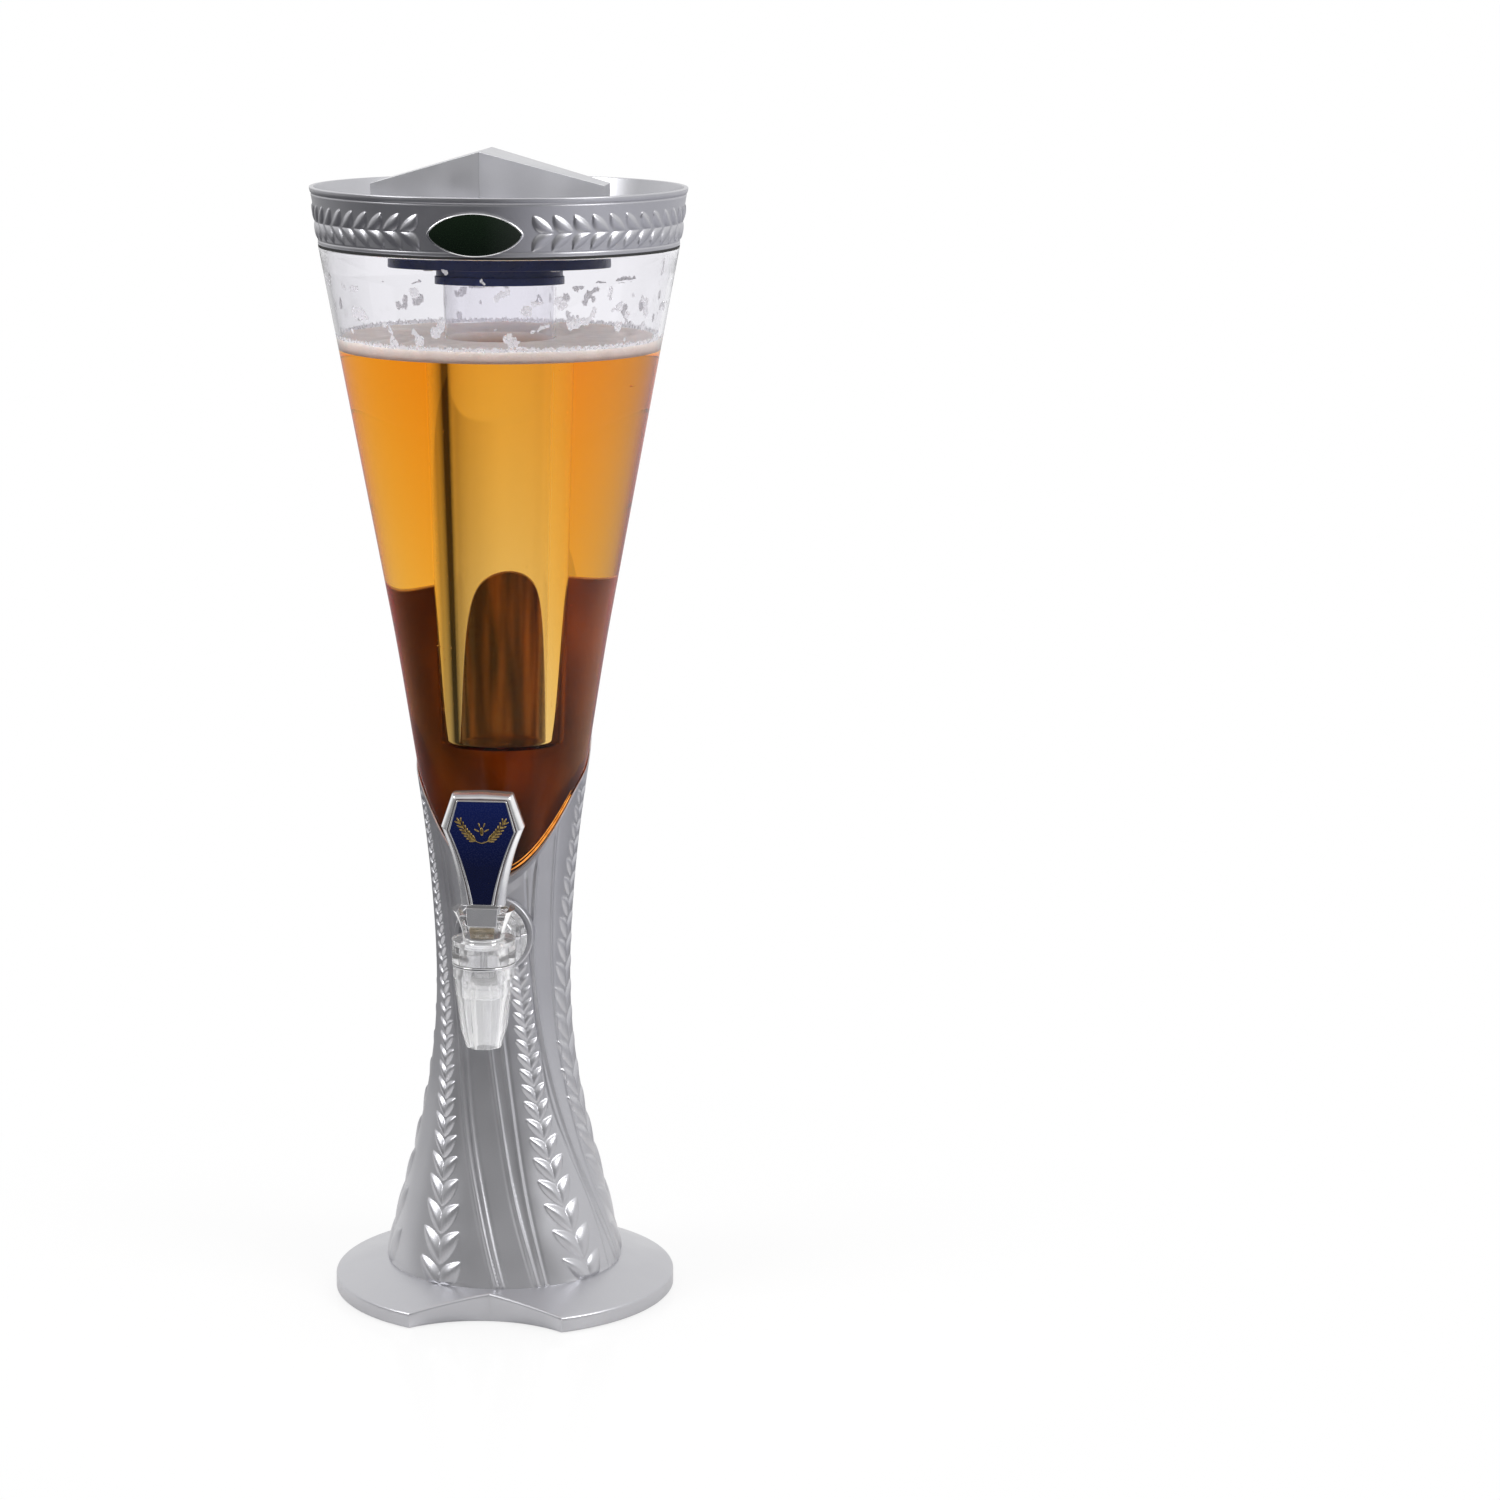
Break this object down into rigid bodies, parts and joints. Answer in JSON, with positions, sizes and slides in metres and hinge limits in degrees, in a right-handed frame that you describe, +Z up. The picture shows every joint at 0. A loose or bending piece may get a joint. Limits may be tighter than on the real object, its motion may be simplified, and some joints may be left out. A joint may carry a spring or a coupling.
{
  "type": "beer tower dispenser",
  "caption": "Tall table-top drinks dispenser: flared clear barrel in a sculpted column on a notched foot, lever tap, lift-off lid with an ice tube",
  "frame": {"origin": "centre of the foot on the table, on the column's axis", "axes": "+Z up along the column, -Y towards the tap, +X to the right seen from the tap"},
  "size_m": [0.1972, 0.1972, 0.6175],
  "materials": {
    "silver_paint": "satin silver paint",
    "black_plastic": "matt black",
    "cast_iron": "as cast",
    "rubber": "matt",
    "steel": "turned",
    "chrome": "polished",
    "clear_plastic": "clear moulded plastic",
    "amber_plastic": "clear amber",
    "blue_enamel": "glossy dark blue enamel",
    "green_enamel": "glossy dark green enamel",
    "navy_plastic": "glossy navy",
    "white_plastic": "soft translucent white"
  },
  "bodies": {
    "tower": {"foot_plate": "silver_paint", "bottom_cover": "black_plastic", "ballast_disc": "cast_iron", "rubber_feet": "rubber", "base_screws": "steel", "column_shell": "silver_paint", "barrel_cushion": "rubber", "barrel": "clear_plastic", "wall_washer": "rubber", "nut_washer": "rubber", "shank_nut": "steel", "tap_shank": "steel", "flange_washer": "rubber", "tap_flange": "chrome", "tap_body": "clear_plastic", "trim_ring": "chrome", "nozzle": "clear_plastic", "bonnet": "chrome", "stem_ring": "rubber", "stem_gland": "amber_plastic", "pivot_pins": "steel"},
    "lid": {"lid_shell": "silver_paint", "lid_crown": "silver_paint", "badge": "green_enamel", "lid_gasket": "white_plastic", "tube_cap": "navy_plastic", "cap_screws": "steel", "tube_seal": "rubber"},
    "tube": {"ice_tube": "clear_plastic"},
    "lever": {"lever_knuckle": "chrome", "lever_handle": "chrome", "handle_inlay": "blue_enamel", "lift_pin": "steel"},
    "plunger": {"valve_stem": "steel", "valve_plug": "rubber"}
  },
  "joints": [
    {"name": "lid_lift", "type": "slide", "parent": "tower", "child": "lid", "axis": [0, 0, 1], "range_m": [0, 0.3]},
    {"name": "tube_turn", "type": "hinge", "parent": "lid", "child": "tube", "pos_m": [0, 0, 0.55], "axis": [0, 0, 1], "range_deg": [0, 90]},
    {"name": "lever_pivot", "type": "hinge", "parent": "tower", "child": "lever", "pos_m": [0, -0.078, 0.224], "axis": [1, 0, 0], "range_deg": [0, 35]},
    {"name": "plunger_lift", "type": "slide", "parent": "tower", "child": "plunger", "axis": [0, 0, 1], "range_m": [0, 0.0029]}
  ],
  "couplings": [
    {"joint": "plunger_lift", "follows": "lever_pivot", "m_per_rad": 0.004695}
  ]
}
